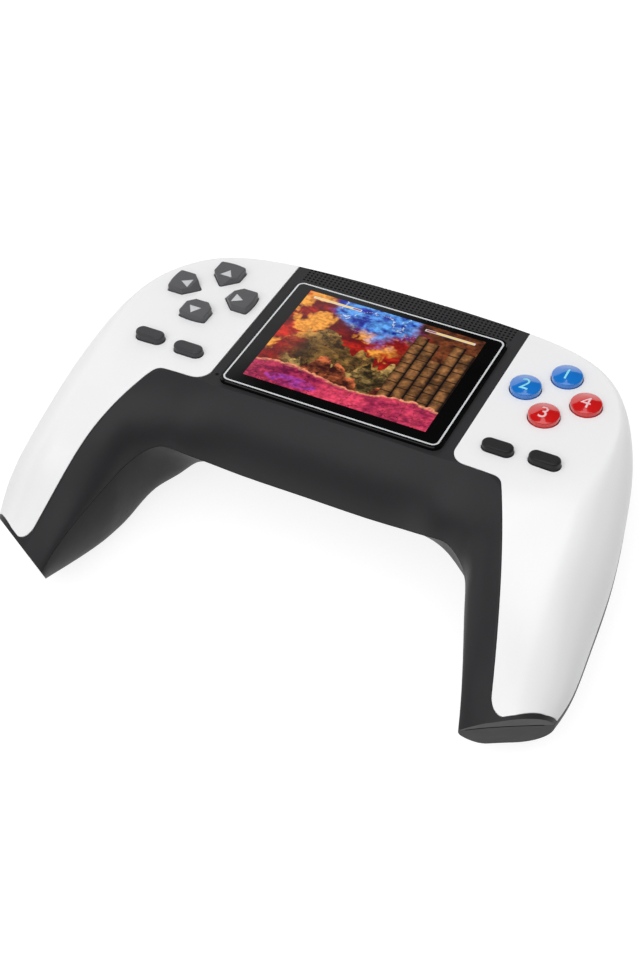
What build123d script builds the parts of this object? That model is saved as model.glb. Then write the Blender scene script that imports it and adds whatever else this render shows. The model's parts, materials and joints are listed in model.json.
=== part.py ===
"""Handheld game console with two grips, a screen between two groups of buttons.

Millimetres. The model is drawn face up: X to the right, Y away from the player, Z out of
the face, and zero on the top of the screen glass in its middle. At the end each piece is
laid down as the console lies on a table, on its two grips and the rear edge of its belly.
"""
from build123d import *
import os
from dataclasses import dataclass
from math import atan2, cos, degrees, hypot, radians, sin, tan

# Screen
glass_width = 75.4
glass_depth = 56.1
glass_corner = 3.0
glass_thick = 1.6
glass_proud = 1.3
display_width = 66.0
display_depth = 51.0
display_thick = 2.4
display_y = 0.5

# Housing
wall = 2.2
strip_half = 41.6
strip_corner = 5.0
brow_y = -29.0
chin_y = -43.0
back_y = 39.4
back_roll = 2.4
crown = 0.3
rim_z = -15.0
belly_z = -33.0
hub_x = 45.0
hub_y = -60.0
lip = 0.2
elbow_x = 58.3
elbow_round = 3.5
handle_middle = (70.9, -58.0)
wing_tip = (79.6, -84.0)
wing_tip_slope = 31.9
wing_tip_round = 4.5
seam = 0.15
parting_gap = 0.2
plug_gap = 0.35
thin_share = 0.45

# Cut that ends each grip: direction of its outward normal and distance from the glass centre
tip_yaw = -60.7
tip_pitch = -18.0
tip_reach = 119.96
cap_thick = 1.2

# Keys
cluster_x = 60.2
cluster_y = 9.8
cluster_radius = 9.9
key_gap = 0.25
key_travel = 1.2
flange_wide = 1.0
flange_thick = 1.0
flange_play = 0.25
flange_room = 0.3
panel_z = -1.2
arrow_half = 4.7
arrow_tip = 4.5
arrow_side = 5.3
arrow_bulge = 0.6
arrow_round = 0.8
arrow_rise = 2.6
arrow_facet = 2.6
button_diameter = 9.8
button_rise = 2.0
button_dome = 0.9
pill_length = 10.0
pill_width = 4.6
pill_rise = 2.2
pill_inner = (53.0, -19.1)
pill_outer = (67.6, -18.2)

# Circuit board and what stands on it
board_z = -8.0
board_thick = 1.2
board_half = 75.0
board_front_y = -29.5
board_back_y = 34.0
sheet_thick = 0.8
sheet_width = 28.5
sheet_depth = 47.0
dome_radius = 3.6
dome_small = 2.0
sheet_clearance = 0.3
chip_diameter = 15.0
chip_height = 2.0

# Speaker grille
grille_columns = 52
grille_rows = 6
grille_pitch = 1.45
grille_row_pitch = 1.38
grille_hole = 0.75
grille_front_y = 30.3
grille_skin = 1.2
grille_overrun = 0.7
speaker_width = 28.0
speaker_depth = 6.4
speaker_height = 3.7

# Battery and its door
battery_width = 53.0
battery_depth = 34.0
battery_thick = 5.6
battery_y = 3.0
door_width = 60.0
door_depth = 42.0
door_gap = 0.15
door_seat = 0.1
door_ledge = 1.5
well_wall = 1.6
tab_width = 12.0
tab_depth = 6.0

# Fasteners
screw_diameter = 2.0
screw_head = 3.8
screw_head_height = 1.3
screw_clearance = 0.1
boss_diameter = 6.4
post_diameter = 4.8
frame_screws = [(38.6, 28.0), (38.6, -10.0)]
grip_screw = (80.0, -62.0)
frame_screw_sink = 7.0
grip_screw_sink = 10.0
door_screw_sink = 1.4
door_screw_length = 5.5

# Sockets and switch on the back wall
port_width = 9.0
port_height = 3.2
port_depth = 7.4
jack_bore = 3.5
jack_x = 18.0
jack_depth = 12.0
jack_bore_depth = 10.5
jack_nose = 2.3
switch_x = -18.0
switch_width = 8.6
switch_travel = 2.4
knob_width = 2.4
light_x = -39.4
light_y = -24.9
light_diameter = 1.1

face_z = -glass_proud
board_under = board_z - board_thick
circle_pull = 0.5523


@dataclass
class Section:
    """One upright slice of the housing, seen as (distance outward, height) pairs."""

    x: float
    y: float
    heading: float
    chin: tuple
    brow: tuple
    shoulder: tuple
    rim: tuple
    heel: tuple
    toe: tuple
    tuck: float


def hub_section(heading, *rest):
    """A slice that turns about the hub, where the body bends round into the grip."""
    return Section(hub_x, hub_y, heading, *rest)


def body_sections():
    """Slices from the middle of the body to beyond the tip of the right grip."""
    top = face_z + crown
    back = back_y - hub_y
    middle = (chin_y, -22.3), (brow_y, top), (back_y - back_roll, top)
    return [
        Section(0, 0, 90, *middle, (back_y, rim_z), (31, belly_z), (-24, belly_z), 38),
        Section(22, 0, 90, *middle[:2], (back_y - back_roll - 0.4, top),
                (back_y - 0.4, rim_z), (31, belly_z), (-24, belly_z), 38),
        Section(33.2, hub_y, 87, (16.6, -21.2), (30.7, top), (back - 3.6, top),
                (back - 1.2, rim_z), (90, belly_z), (36, belly_z), 40),
        Section(39.2, hub_y, 83, (15.0, -19.0), (30.9, -1.2), (back - 4.4, -1.1),
                (back - 2.4, rim_z), (88, belly_z - 1), (35, belly_z - 2), 46),
        Section(43, hub_y, 75, (14.8, -17.9), (31.8, -1.4), (91.2, -0.8), (95.8, rim_z),
                (84, -36), (32.5, -42), 56),
        hub_section(60, (14.5, -19.3), (30.6, -2.6), (74.5, -1.0), (82.0, -17), (70, -43),
                    (30.5, -49), 68),
        hub_section(45, (14.9, -21.7), (26.6, -5.6), (52.0, -3.2), (67.8, -22), (56, -50),
                    (28.5, -54.6), 79),
        hub_section(30, (14.9, -23.8), (24.4, -8.9), (42.0, -8.3), (58.8, -31), (46, -56.5),
                    (27, -59), 86),
        hub_section(15, (15.0, -25.4), (24.4, -12.8), (37.0, -12.7), (53.6, -38),
                    (41, -60.2), (27, -61), 90),
        hub_section(0, (16.1, -27.8), (26.0, -18.3), (35.0, -18.6), (52.4, -42.8),
                    (39, -61), (27.5, -61), 92),
        Section(0, -72, 0, (66.1, -35.3), (74.8, -30.5), (82.0, -31.2), (96.1, -46),
                (83.5, -60), (76, -60.4), 92),
        Section(0, -84, 0, (70.6, -44.9), (78.6, -42.2), (83.5, -42.8), (94.0, -50.2),
                (82.5, -57.0), (78.5, -57.6), 92),
        Section(0, -90, 0, (72.7, -49.6), (80.5, -47.8), (84.0, -48.1), (92.0, -53.0),
                (83, -56.2), (80, -56.6), 92),
    ]


def inward(section, point, inset):
    """Height of a point of the face moved inward, less where the upper half gets thin."""
    chin, rim = section.chin, section.rim
    share = (point[0] - chin[0]) / (rim[0] - chin[0])
    above = point[1] - chin[1] - share * (rim[1] - chin[1])
    return point[1] - inset * min(1, thin_share * above / wall)


def corners(section, inset):
    """The six corner points of a slice, moved inward by a wall thickness."""
    chin, rim = section.chin, section.rim
    reach = hypot(rim[0] - chin[0], rim[1] - chin[1])
    along = (rim[0] - chin[0]) / reach, (rim[1] - chin[1]) / reach
    return (
        (chin[0] + inset * along[0], chin[1] + inset * along[1]),
        (section.brow[0] + inset / 2, inward(section, section.brow, inset)),
        (section.shoulder[0] - inset / 5, inward(section, section.shoulder, inset)),
        (rim[0] - inset * along[0], rim[1] - inset * along[1]),
        (section.heel[0] - inset / 5, section.heel[1] + inset),
        (section.toe[0] + inset / 5, section.toe[1] + inset),
    )


def upper_control_points(section, inset, gap):
    """Control points of the three curves from the chin over the face to the rim.

    The gap keeps the half clear of the parting line.
    """
    chin, brow, shoulder, rim, _, _ = corners(section, inset)
    chin = chin[0], chin[1] + gap
    rim = rim[0], rim[1] + gap
    climb = brow[0] - chin[0], brow[1] - chin[1]
    flat = shoulder[0] - brow[0]
    fall = rim[0] - shoulder[0], rim[1] - shoulder[1]
    scoop = [chin, (chin[0] + 0.06 * climb[0], chin[1] + 0.55 * climb[1]),
             (brow[0] - 0.5 * climb[0], brow[1] - 0.16 * climb[1]), brow]
    face = [brow, (brow[0] + flat / 3, brow[1] + 0.8 * (shoulder[1] - brow[1])),
            (shoulder[0] - flat / 3, shoulder[1]), shoulder]
    roll = [shoulder, (shoulder[0] + circle_pull * fall[0], shoulder[1]),
            (rim[0], rim[1] - circle_pull * fall[1]), rim]
    return [scoop, face, roll]


def lower_control_points(section, inset, gap):
    """Control points of the three curves from the rim under the belly to the chin."""
    chin, _, _, rim, heel, toe = corners(section, inset)
    chin = chin[0], chin[1] - gap
    rim = rim[0], rim[1] - gap
    drop = heel[0] - rim[0], heel[1] - rim[1]
    lift = chin[0] - toe[0], chin[1] - toe[1]
    pull = 0.45 * hypot(*lift)
    tuck = radians(section.tuck)
    back = [rim, (rim[0], rim[1] + circle_pull * drop[1]),
            (heel[0] - circle_pull * drop[0], heel[1]), heel]
    belly = [heel, ((2 * heel[0] + toe[0]) / 3, (2 * heel[1] + toe[1]) / 3),
             ((heel[0] + 2 * toe[0]) / 3, (heel[1] + 2 * toe[1]) / 3), toe]
    front = [toe, (toe[0] + circle_pull * lift[0], toe[1]),
             (chin[0] + pull * cos(tuck), chin[1] - pull * sin(tuck)), chin]
    return [back, belly, front]


def stand(section, side, point):
    """A point of a slice, set up in space; side is -1 for the mirrored left half."""
    heading = radians(section.heading)
    x = section.x + point[0] * cos(heading)
    y = section.y + point[0] * sin(heading)
    return Vector(side * x, y, point[1])


def slice_wire(section, side, control_points, gap, outer, inner):
    """Outline of a slice between two insets, or filled up to its parting line."""
    curves = control_points(section, outer, gap)
    if inner is not None:
        inside = [curve[::-1] for curve in control_points(section, inner, gap)[::-1]]
        curves = curves + [[curves[-1][-1], inside[0][0]]] + inside
    curves = curves + [[curves[-1][-1], curves[0][0]]]
    return Wire([Edge.make_bezier(*[stand(section, side, p) for p in c]) for c in curves])


def loft_body(control_points, gap, outer, inner=None):
    """Loft the slices in one sweep from the left grip's tip to the right grip's tip."""
    half = body_sections()
    order = [(s, -1) for s in half[:0:-1]] + [(s, 1) for s in half]
    return Solid.make_loft([slice_wire(s, side, control_points, gap, outer, inner)
                            for s, side in order])


def tip_blocks(near, far):
    """Blocks square to the two grip ends, between two depths inside the end face."""
    yaw, pitch = radians(tip_yaw), radians(tip_pitch)
    blocks = []
    for side in (1, -1):
        normal = Vector(side * cos(yaw) * cos(pitch), sin(yaw) * cos(pitch), sin(pitch))
        end = Plane(origin=normal * (tip_reach - far), z_dir=normal)
        blocks.append(end * Pos(0, 0, (far - near) / 2) * Box(160, 160, far - near))
    return blocks


def hollow_half(control_points, gap):
    """One half of the housing: a wall of even thickness, cut and closed at both grip ends."""
    skin = loft_body(control_points, gap, 0, wall)
    for block in tip_blocks(-60, 0):
        skin -= block
    plug = loft_body(control_points, gap + plug_gap, wall - 0.5)
    for block in tip_blocks(0, wall):
        skin += plug & block
    return skin


def wing_outline(grow):
    """Plan of the right white panel, grown on all sides by a gap."""
    edge_y = brow_y - lip
    beyond = 140, 80
    end_y = wing_tip[1] + (beyond[0] - wing_tip[0]) * tan(radians(wing_tip_slope))
    plan = make_face([
        Polyline((strip_half, beyond[1]), (strip_half, edge_y), (elbow_x, edge_y)),
        ThreePointArc((elbow_x, edge_y), handle_middle, wing_tip),
        Polyline(wing_tip, (beyond[0], end_y), beyond, (strip_half, beyond[1])),
    ])
    rounds = {(strip_half, edge_y): strip_corner, (elbow_x, edge_y): elbow_round,
              wing_tip: wing_tip_round}
    for (x, y), radius in rounds.items():
        corner = plan.vertices().sort_by_distance((x, y, 0))[0]
        plan = fillet(corner, radius)
    return offset(plan, grow) if grow else plan


def rise(plan, height):
    """Extrude a shape drawn in plan straight up."""
    return extrude(plan, height, dir=(0, 0, 1))


def wing_prism(grow):
    return Pos(0, 0, -70) * rise(wing_outline(grow), 80)


def both_sides(shape):
    return [shape, mirror(shape, Plane.YZ)]


def arrow_outline(grow):
    """Key shape with two straight sides, a pointed inner end at the origin and a bowed top."""
    half = arrow_half + grow
    tip = -grow * 1.414
    far = arrow_half + arrow_side + grow
    near = tip + half
    sides = Polyline((-half, far), (-half, near), (0, tip), (half, near), (half, far))
    cap = ThreePointArc((half, far), (0, far + arrow_bulge), (-half, far))
    face = make_face([sides, cap])
    return fillet(face.vertices(), arrow_round)


def arrow_key():
    """A key that points away from the cluster's centre, its tip cut to a sloping facet."""
    top = panel_z + arrow_rise
    under = panel_z - wall - flange_play
    stem = Pos(0, 0, under - flange_thick) * rise(arrow_outline(0), top - under + flange_thick)
    rim_edges = stem.faces().sort_by(Axis.Z)[-1].edges()
    stem = fillet(rim_edges, 0.4)
    facet = Plane(origin=(0, arrow_facet, top), x_dir=(1, 0, 0), z_dir=(0, -1, 1.1))
    stem -= facet * Pos(0, 0, 5) * Box(30, 30, 10)
    flange = Pos(0, 0, under - flange_thick) * rise(arrow_outline(flange_wide), flange_thick)
    return stem + flange


def key_skirt(outline, outline_wide):
    """Stem and flange below the panel, shared by the round and the long keys."""
    under = panel_z - wall - flange_play
    stem = Pos(0, 0, under) * rise(outline, panel_z - under)
    flange = Pos(0, 0, under - flange_thick) * rise(outline_wide, flange_thick)
    return stem + flange


def round_button():
    """A domed button turned from one profile."""
    radius = button_diameter / 2
    top = panel_z + button_rise
    profile = make_face([
        Polyline((0, panel_z), (radius, panel_z), (radius, top - 0.3)),
        Spline([(radius, top - 0.3), (radius - 0.5, top + 0.15), (0, top + button_dome)],
               tangents=[(0, 1), (-1, 0)]),
        Line((0, top + button_dome), (0, panel_z)),
    ])
    cap = revolve(Plane.XZ * profile, Axis.Z)
    return cap + key_skirt(Circle(radius), Circle(radius + flange_wide))


def pill_key():
    """A long key with rounded ends and a softly rounded top."""
    body = SlotOverall(pill_length, pill_width)
    cap = Pos(0, 0, panel_z) * rise(body, pill_rise)
    cap = fillet(cap.faces().sort_by(Axis.Z)[-1].edges(), 0.7)
    wide = SlotOverall(pill_length + 2 * flange_wide, pill_width + 2 * flange_wide)
    return cap + key_skirt(body, wide)


def cluster_places(x):
    """The four places of a cluster with the turn that points each key outward."""
    places = {}
    for name, turn in (("top", 0), ("left", 90), ("bottom", 180), ("right", 270)):
        angle = radians(turn + 90)
        middle = (x + cluster_radius * cos(angle), cluster_y + cluster_radius * sin(angle))
        places[name] = middle, turn
    return places


def arrow_place(x, turn):
    """Where a key's pointed end sits, so that the four points face the cluster's middle."""
    return Pos(x, cluster_y, 0) * Rot(0, 0, turn) * Pos(0, arrow_tip, 0)


def pill_places(side):
    return [(side * pill_inner[0], pill_inner[1]), (side * pill_outer[0], pill_outer[1])]


def key_holes(side):
    """Everything that is cut through one wing so that its keys can move."""
    depth = 20
    cuts = []
    for middle, turn in cluster_places(side * cluster_x).values():
        if side < 0:
            cuts.append(arrow_place(side * cluster_x, turn) * rise(arrow_outline(key_gap), depth))
        else:
            cuts.append(Pos(*middle, 0) * rise(Circle(button_diameter / 2 + key_gap), depth))
    for middle in pill_places(side):
        slot = SlotOverall(pill_length + 2 * key_gap, pill_width + 2 * key_gap)
        cuts.append(Pos(*middle, 0) * rise(slot, depth))
    return [Pos(0, 0, -depth / 2) * cut for cut in cuts]


def flange_pockets(side):
    """Flat seats for the flanges of the long keys where the panel curves down over them."""
    grow = flange_wide + flange_room
    slot = SlotOverall(pill_length + 2 * grow, pill_width + 2 * grow)
    depth = 20
    low = panel_z - wall - depth
    return [Pos(*middle, low) * rise(slot, depth) for middle in pill_places(side)]


def hole(x, y, z, diameter, length):
    """An upright cylinder whose lower end stands at z."""
    return Pos(x, y, z + length / 2) * Cylinder(diameter / 2, length)


def back_cut(x, z, shape):
    """A cut along Y through the back wall; the shape is drawn in X and Z."""
    return Pos(x, back_y + 4, z) * extrude(Plane.XZ * shape, 12)


def grille_holes():
    """Square holes in rows that stop short of the bowed back edge."""
    spots = []
    for row in range(grille_rows):
        y = grille_front_y + row * grille_row_pitch
        for column in range(grille_columns):
            x = (column - (grille_columns - 1) / 2) * grille_pitch
            edge = back_y - back_roll + grille_overrun - 1.2 * (x / 36) ** 2
            if y + grille_hole / 2 < edge:
                spots.append(Location((x, y)))
    square = Rectangle(grille_hole, grille_hole)
    return Pos(0, 0, face_z - grille_skin) * rise(Sketch() + [s * square for s in spots], 3)


def make_front_shell(skin):
    """Middle strip with the screen window and grille, the scoop and the grips' inner sides."""
    shell = skin
    for prism, beyond in zip(both_sides(wing_prism(seam)), tip_blocks(-60, cap_thick - seam)):
        shell -= prism - beyond
    shell -= Pos(0, 0, face_z + 5) * Box(300, 300, 10)
    for x, y in frame_screws:
        for side in (1, -1):
            post = hole(side * x, y, board_under - 0.1, post_diameter, -board_under - 2.5)
            shell += post
            shell -= hole(side * x, y, board_under - 1, screw_diameter + screw_clearance, 6)
    pocket = RectangleRounded(glass_width + 0.2, glass_depth + 0.2, glass_corner + 0.1)
    shell -= Pos(0, 0, -glass_thick) * rise(pocket, 5)
    window = Rectangle(display_width + 0.4, display_depth + 0.4)
    shell -= Pos(0, display_y, -8) * rise(window, 10)
    speaker_y = board_back_y - speaker_depth / 2 + 1
    shell -= Pos(0, speaker_y, face_z - grille_skin - 2) * Box(speaker_width, speaker_depth - 1, 4)
    shell -= grille_holes()
    shell -= hole(light_x, light_y, -6, light_diameter + 0.1, 10)
    port_z = board_under - port_height / 2
    shell -= back_cut(0, port_z, RectangleRounded(port_width + 0.6, port_height + 0.6, 1.2))
    shell -= back_cut(jack_x, board_under - 2.6, Circle(2.75))
    shell -= back_cut(switch_x, board_under - 1.8, Rectangle(knob_width + switch_travel + 0.6, 2.2))
    return shell


def make_wing(skin, upper_body, side):
    """White panel that covers one wing and the top of its grip."""
    which = 0 if side > 0 else 1
    panel = skin & both_sides(wing_prism(0))[which]
    panel -= tip_blocks(-60, cap_thick)[which]
    for cut in key_holes(side) + flange_pockets(side):
        panel -= cut
    x, y = side * grip_screw[0], grip_screw[1]
    post = hole(x, y, -36, post_diameter + 1, 30) & upper_body
    panel += post
    panel -= hole(x, y, -37, screw_diameter + screw_clearance, 10)
    return panel


def door_plan(grow):
    """The battery door with the tab that its screw goes through."""
    plate = Rectangle(door_width + 2 * grow, door_depth + 2 * grow)
    tab_y = -door_depth / 2 - tab_depth / 2
    plate += Pos(0, tab_y) * Rectangle(tab_width + 2 * grow, tab_depth + 2 * grow)
    plate = fillet(plate.vertices().sort_by(Axis.Y)[:2], 2.5)
    return Pos(0, battery_y) * plate


def tab_screw_y():
    return battery_y - door_depth / 2 - tab_depth / 2


def make_rear_shell(skin, solid_body):
    """Lower housing with the battery well and the screw bosses."""
    well_width = door_width - 2 * door_ledge
    well_depth = door_depth - 2 * door_ledge
    well_top = belly_z + wall + battery_thick + 0.4
    outside = 2 * (door_ledge + well_wall)
    well_height = well_top + well_wall - belly_z - wall / 2
    well = Rectangle(well_width + outside, well_depth + outside)
    shell = skin + Pos(0, battery_y, belly_z + wall / 2) * rise(well, well_height)
    shell += hole(0, tab_screw_y(), belly_z + wall / 2, boss_diameter, 8)
    for side in (1, -1):
        for x, y in frame_screws:
            top = board_under - 0.3
            boss = hole(side * x, y, -45, boss_diameter, top + 45) & solid_body
            shell += boss
            shell -= hole(side * x, y, -46, screw_diameter + 0.4, 45)
            shell -= hole(side * x, y, -46, screw_head + 0.5, 46 + belly_z + frame_screw_sink)
        x, y = side * grip_screw[0], grip_screw[1]
        boss = hole(x, y, -70, boss_diameter + 0.6, 70 - 36.2) & solid_body
        shell += boss
        shell -= hole(x, y, -70, screw_diameter + 0.4, 45)
        shell -= hole(x, y, -70, screw_head + 0.5, 10 + grip_screw_sink)
    shell -= Pos(0, battery_y, belly_z - 5) * rise(Rectangle(well_width, well_depth),
                                                     well_top - belly_z + 5)
    shell -= Pos(0, 0, belly_z - 5) * rise(door_plan(door_gap), wall + 5)
    pilot = door_screw_sink + door_screw_length + 1.5
    shell -= hole(0, tab_screw_y(), belly_z - 1, screw_diameter + screw_clearance, pilot)
    return shell


def make_battery_door(skin):
    """Plate cut from the same belly surface as the rear shell, flush with it."""
    door = skin & (Pos(0, 0, belly_z - 5) * rise(door_plan(0), wall + 5 - door_seat))
    door -= hole(0, tab_screw_y(), belly_z - 5, screw_diameter + 0.4, 10)
    return door - hole(0, tab_screw_y(), belly_z - 5, screw_head + 0.4, 5 + door_screw_sink)


def screw(x, y, head_z, length):
    """A pan-head screw that points up, its head's upper face at head_z."""
    head = hole(x, y, head_z - screw_head_height, screw_head, screw_head_height)
    head = chamfer(head.faces().sort_by(Axis.Z)[0].edges(), 0.3)
    return head + hole(x, y, head_z - 0.01, screw_diameter, length)


def make_case_screws():
    screws = []
    for side in (1, -1):
        for x, y in frame_screws:
            head_z = belly_z + frame_screw_sink
            screws.append(screw(side * x, y, head_z, board_under - head_z + 4))
        screws.append(screw(side * grip_screw[0], grip_screw[1], -60 + grip_screw_sink, 22))
    return screws


def make_glass():
    plate = rise(RectangleRounded(glass_width, glass_depth, glass_corner), glass_thick)
    plate = Pos(0, 0, -glass_thick) * plate
    return chamfer(plate.faces().sort_by(Axis.Z)[-1].edges(), 0.25)


def make_display():
    return Pos(0, display_y, -glass_thick - 0.1 - display_thick / 2) * Box(
        display_width, display_depth, display_thick)


def make_display_bracket():
    """Tray between the display and the board: a floor on a skirt, open below."""
    top = -glass_thick - 0.1 - display_thick - 0.1
    height = top - board_z - 0.05
    tray = Box(display_width + 3, display_depth + 2, height)
    hollow = Pos(0, 0, -0.5) * Box(display_width, display_depth - 1, height - 1)
    return Pos(0, display_y, top - height / 2) * (tray - hollow)


def make_display_ribbon():
    """Flat cable that leaves the display's front edge and folds under to the board."""
    top = -glass_thick - 0.1 - display_thick + 0.4
    low = board_z + 0.15
    front = display_y - display_depth / 2
    radius = (top - low) / 2
    fold = front - 1.6
    middle = (top + low) / 2
    path = [
        Line((front - 0.2, top), (fold, top)),
        ThreePointArc((fold, top), (fold - radius, middle), (fold, low)),
        Line((fold, low), (front - 1.5, low)),
    ]
    strip = Wire([p.edge() for p in path])
    outline = trace(strip, 0.2)
    return Pos(-9, 0, 0) * extrude(Plane.YZ * outline, 18, dir=(1, 0, 0))


def board_outline():
    """Board that reaches under both key groups, narrower in front of and behind them."""
    wide = Pos(0, 1) * RectangleRounded(2 * board_half, 50, 10)
    depth = board_back_y - board_front_y
    middle = Pos(0, (board_back_y + board_front_y) / 2) * Rectangle(74, depth)
    return wide + middle


def make_board():
    board = Pos(0, 0, board_under) * rise(board_outline(), board_thick)
    for x, y in frame_screws:
        for side in (1, -1):
            board -= hole(side * x, y, board_under - 1, post_diameter + 0.6, 4)
    return board


def make_key_sheet(side):
    """Rubber sheet on the board with one dome, drawn pressed, under each key of a side."""
    dome_top = panel_z - wall - flange_play - flange_thick - key_travel - sheet_clearance
    sheet = Pos(side * cluster_x, 0) * RectangleRounded(sheet_width, sheet_depth, 5)
    body = Pos(0, 0, board_z) * rise(sheet, sheet_thick)
    height = dome_top - board_z - sheet_thick
    domes = [(middle, dome_radius) for middle, _ in cluster_places(side * cluster_x).values()]
    domes += [(middle, dome_small) for middle in pill_places(side)]
    for middle, radius in domes:
        dome = Cone(radius, radius - height / 2, height)
        body += Pos(*middle, board_z + sheet_thick + height / 2) * dome
    return body


def make_main_chip():
    """Blob of sealing compound over the processor, on the board's underside."""
    radius = chip_diameter / 2
    profile = make_face([
        Line((0, 0), (radius, 0)),
        Spline([(radius, 0), (radius * 0.7, -chip_height * 0.8), (0, -chip_height)],
               tangents=[(-0.3, -1), (-1, 0)]),
        Line((0, -chip_height), (0, 0)),
    ])
    return Pos(-12, 12, board_under) * revolve(Plane.XZ * profile, Axis.Z)


def make_board_parts():
    """Memory chip, crystal, capacitors and the indicator's diode, soldered to the board."""
    memory = Pos(14, 12, board_under - 0.6) * Box(12, 8, 1.2)
    crystal = Pos(-12, -4, board_under - 1.2) * Box(10, 4, 2.4)
    parts = [memory, crystal]
    for x in (24, 30):
        parts.append(hole(x, -12, board_under - 5, 5, 5))
    parts.append(Pos(light_x, light_y + 0.4, board_z + 0.4) * Box(1.6, 1.6, 0.8))
    return parts


def make_light_pipe():
    """Clear pin that carries the diode's light to the face."""
    pin = hole(light_x, light_y, board_z + 1.0, light_diameter, face_z - board_z - 1.1)
    return pin + hole(light_x, light_y, face_z - wall - 1.3, 2.2, 1.0)


def make_speaker():
    y = board_back_y - speaker_depth / 2 + 1
    box = Box(speaker_width, speaker_depth, speaker_height)
    box = fillet(box.edges().filter_by(Axis.Z), 1.5)
    rim = Pos(0, 0, speaker_height / 2) * Box(speaker_width - 3, speaker_depth - 2.4, 0.8)
    return Pos(0, y, board_z + 0.02 + speaker_height / 2) * (box - rim)


def make_charge_port():
    shell = extrude(Plane.XZ * RectangleRounded(port_width, port_height, 1.0), port_depth)
    room = Pos(0, 0.8, 0) * extrude(Plane.XZ * RectangleRounded(port_width - 0.8,
                                                              port_height - 0.8, 0.6), 6.6)
    tongue = Pos(0, -4.2, 0) * Box(5.2, 5, 0.7)
    y = back_y - 1.4
    return Pos(0, y, board_under - port_height / 2) * (shell - room + tongue)


def make_av_jack():
    """Round socket in a square housing under the board's back edge."""
    body = Pos(0, -jack_depth / 2 - jack_nose, 0) * Box(6.4, jack_depth, 5.0)
    nose = extrude(Plane.XZ * Circle(2.5), jack_depth / 2)
    bore = extrude(Plane.XZ * Circle(jack_bore / 2), jack_bore_depth)
    return Pos(jack_x, back_y - 1.0, board_under - 2.6) * (body + nose - bore)


def make_power_switch():
    body = Box(switch_width, 4.4, 3.4)
    slot = Pos(0, 1.8, 0) * Box(knob_width + switch_travel + 0.4, 2, 1.6)
    return Pos(switch_x, back_y - 5.2, board_under - 1.8) * (body - slot)


def make_power_knob():
    """Slider that stands through the wall's slot, drawn at the left end of its travel."""
    stem = Pos(0, -2.0, 0) * Box(knob_width - 0.4, 3.4, 1.2)
    grip = Box(knob_width, 1.6, 1.8)
    grip = fillet(grip.faces().sort_by(Axis.Y)[-1].edges(), 0.3)
    x = switch_x - switch_travel / 2
    return Pos(x, back_y - 0.6, board_under - 1.8) * (grip + stem)


def make_battery():
    z = belly_z + wall + 0.2 + battery_thick / 2
    pack = Box(battery_width, battery_depth, battery_thick)
    return Pos(0, battery_y, z) * fillet(pack.edges().filter_by(Axis.Z), 1.5)


def make_battery_contacts():
    """Three bent leaves between the battery's end and the wall of its well."""
    gap = door_width / 2 - door_ledge - battery_width / 2
    leaves = []
    z = belly_z + wall + 0.4
    for y in (-5, 0, 5):
        outline = make_face(Polyline((0.1, 0), (gap, 0), (gap, 4.6), (gap - 0.3, 4.6),
                                     (gap - 0.3, 0.3), (0.9, 0.3), (0.45, 2.6), (0.9, 4.0),
                                     (0.65, 4.1), (0.1, 2.6), (0.1, 0)))
        leaf = extrude(Plane.XZ * outline, 1.6, dir=(0, -1, 0))
        leaves.append(Pos(battery_width / 2, battery_y + y + 0.8, z) * leaf)
    return leaves


def lay_down():
    """Turn and lift that put both grips and the rear edge of the belly on one table."""
    rear = body_sections()[0]
    rear_curve = lower_control_points(rear, 0, 0)[0]
    steps = [i / 40 for i in range(41)]
    rear_points = [bezier_point(rear_curve, t) for t in steps]
    grip_points = []
    for section in body_sections()[6:11]:
        heading = radians(section.heading)
        for u, z in (section.heel, section.toe):
            grip_points.append((section.y + u * sin(heading), z))
    tilt = 0.0
    for _ in range(20):
        c, s = cos(tilt), sin(tilt)
        ry, rz = min(rear_points, key=lambda p: p[1] * c - p[0] * s)
        gy, gz = min(grip_points, key=lambda p: p[1] * c - p[0] * s)
        tilt = atan2(rz - gz, ry - gy)
    return degrees(tilt)


def bezier_point(curve, t):
    weights = (1 - t) ** 3, 3 * (1 - t) ** 2 * t, 3 * (1 - t) * t ** 2, t ** 3
    return tuple(sum(w * p[i] for w, p in zip(weights, curve)) for i in (0, 1))


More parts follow.
